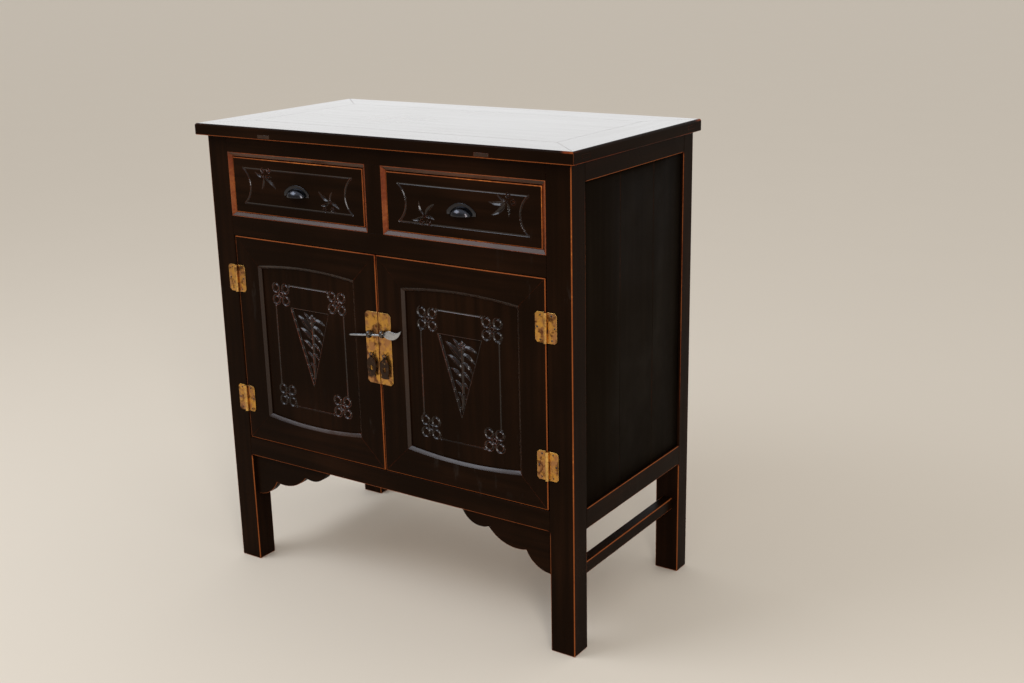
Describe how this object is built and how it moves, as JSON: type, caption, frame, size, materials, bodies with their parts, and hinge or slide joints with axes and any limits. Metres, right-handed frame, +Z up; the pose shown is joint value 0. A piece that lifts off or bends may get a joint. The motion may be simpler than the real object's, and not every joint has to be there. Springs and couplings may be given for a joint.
{
  "type": "carved cabinet",
  "caption": "Low lacquered cabinet on square legs with carved drawers over a pair of arched panel doors, surface hinges, a lock plate with a sliding latch pin, and scalloped aprons.",
  "frame": {"origin": "on the floor, under the middle of the top", "axes": "+Z up, -Y to the front with the doors, +X to the right as seen from the front"},
  "size_m": [0.804, 0.432, 0.86],
  "materials": {
    "lacquer": "near-black brown lacquer, satin, rubbed to orange brown along the edges",
    "panel_lacquer": "near-black brown lacquer on planks, satin",
    "top_lacquer": "dark brown lacquer, glossy, with fine cracks along the grain",
    "bare_wood": "bare softwood, aged",
    "brass": "aged sheet brass, satin, with brown stains",
    "bronze": "dark bronze, cast, worn bright on the high spots",
    "white_metal": "dull white metal",
    "dark_iron": "dark, smooth, slightly glossy"
  },
  "bodies": {
    "cabinet": {"apron_bracket_left": "lacquer", "apron_bracket_right": "lacquer", "back_lower_rail": "lacquer", "back_panel": "bare_wood", "back_upper_rail": "lacquer", "bottom_board": "bare_wood", "drawer_divider": "lacquer", "drawer_runners": "bare_wood", "drawer_surrounds": "lacquer", "front_lower_rail": "lacquer", "front_middle_rail": "lacquer", "front_upper_rail": "lacquer", "hinge_pins": "brass", "hinge_post_leaves": "brass", "post_front_left": "lacquer", "post_front_right": "lacquer", "post_rear_left": "lacquer", "post_rear_right": "lacquer", "side_lower_rail_left": "lacquer", "side_lower_rail_right": "lacquer", "side_panel_left": "panel_lacquer", "side_panel_right": "panel_lacquer", "side_stretchers": "lacquer", "side_upper_rail_left": "lacquer", "side_upper_rail_right": "lacquer", "top_battens": "bare_wood", "top_front_rail": "top_lacquer", "top_left_end": "top_lacquer", "top_panel": "top_lacquer", "top_rear_rail": "top_lacquer", "top_right_end": "top_lacquer"},
    "left_drawer": {"left_drawer_back": "bare_wood", "left_drawer_bottom": "bare_wood", "left_drawer_front": "lacquer", "left_drawer_pull": "dark_iron", "left_drawer_sides": "bare_wood"},
    "right_drawer": {"right_drawer_back": "bare_wood", "right_drawer_bottom": "bare_wood", "right_drawer_front": "lacquer", "right_drawer_pull": "dark_iron", "right_drawer_sides": "bare_wood"},
    "left_door": {"left_door_bottom_rail": "lacquer", "left_door_eyes": "white_metal", "left_door_hinge_leaves": "brass", "left_door_hinge_stile": "lacquer", "left_door_lock_plate": "brass", "left_door_meeting_stile": "lacquer", "left_door_panel": "lacquer", "left_door_top_rail": "lacquer"},
    "right_door": {"right_door_bottom_rail": "lacquer", "right_door_eyes": "white_metal", "right_door_hinge_leaves": "brass", "right_door_hinge_stile": "lacquer", "right_door_lock_plate": "brass", "right_door_meeting_stile": "lacquer", "right_door_panel": "lacquer", "right_door_top_rail": "lacquer"},
    "left_pendant": {"left_door_pendant": "bronze"},
    "right_pendant": {"right_door_pendant": "bronze"},
    "latch_pin": {"latch_pin": "white_metal"}
  },
  "joints": [
    {"name": "left_drawer_slide", "type": "slide", "parent": "cabinet", "child": "left_drawer", "axis": [0, -1, 0], "range_m": [0, 0.25]},
    {"name": "right_drawer_slide", "type": "slide", "parent": "cabinet", "child": "right_drawer", "axis": [0, -1, 0], "range_m": [0, 0.25]},
    {"name": "left_door_hinge", "type": "hinge", "parent": "cabinet", "child": "left_door", "pos_m": [-0.3398, -0.2035, 0.457], "axis": [0, 0, -1], "range_deg": [0, 170]},
    {"name": "right_door_hinge", "type": "hinge", "parent": "cabinet", "child": "right_door", "pos_m": [0.3398, -0.2035, 0.457], "axis": [0, 0, 1], "range_deg": [0, 170]},
    {"name": "left_pendant_swing", "type": "hinge", "parent": "left_door", "child": "left_pendant", "pos_m": [-0.0207, -0.2063, 0.476], "axis": [-1, 0, 0], "range_deg": [0, 80]},
    {"name": "right_pendant_swing", "type": "hinge", "parent": "right_door", "child": "right_pendant", "pos_m": [0.0087, -0.2063, 0.476], "axis": [-1, 0, 0], "range_deg": [0, 80]},
    {"name": "latch_pin_slide", "type": "slide", "parent": "right_door", "child": "latch_pin", "axis": [0.9926, 0, 0.1215], "range_m": [0, 0.072]}
  ]
}
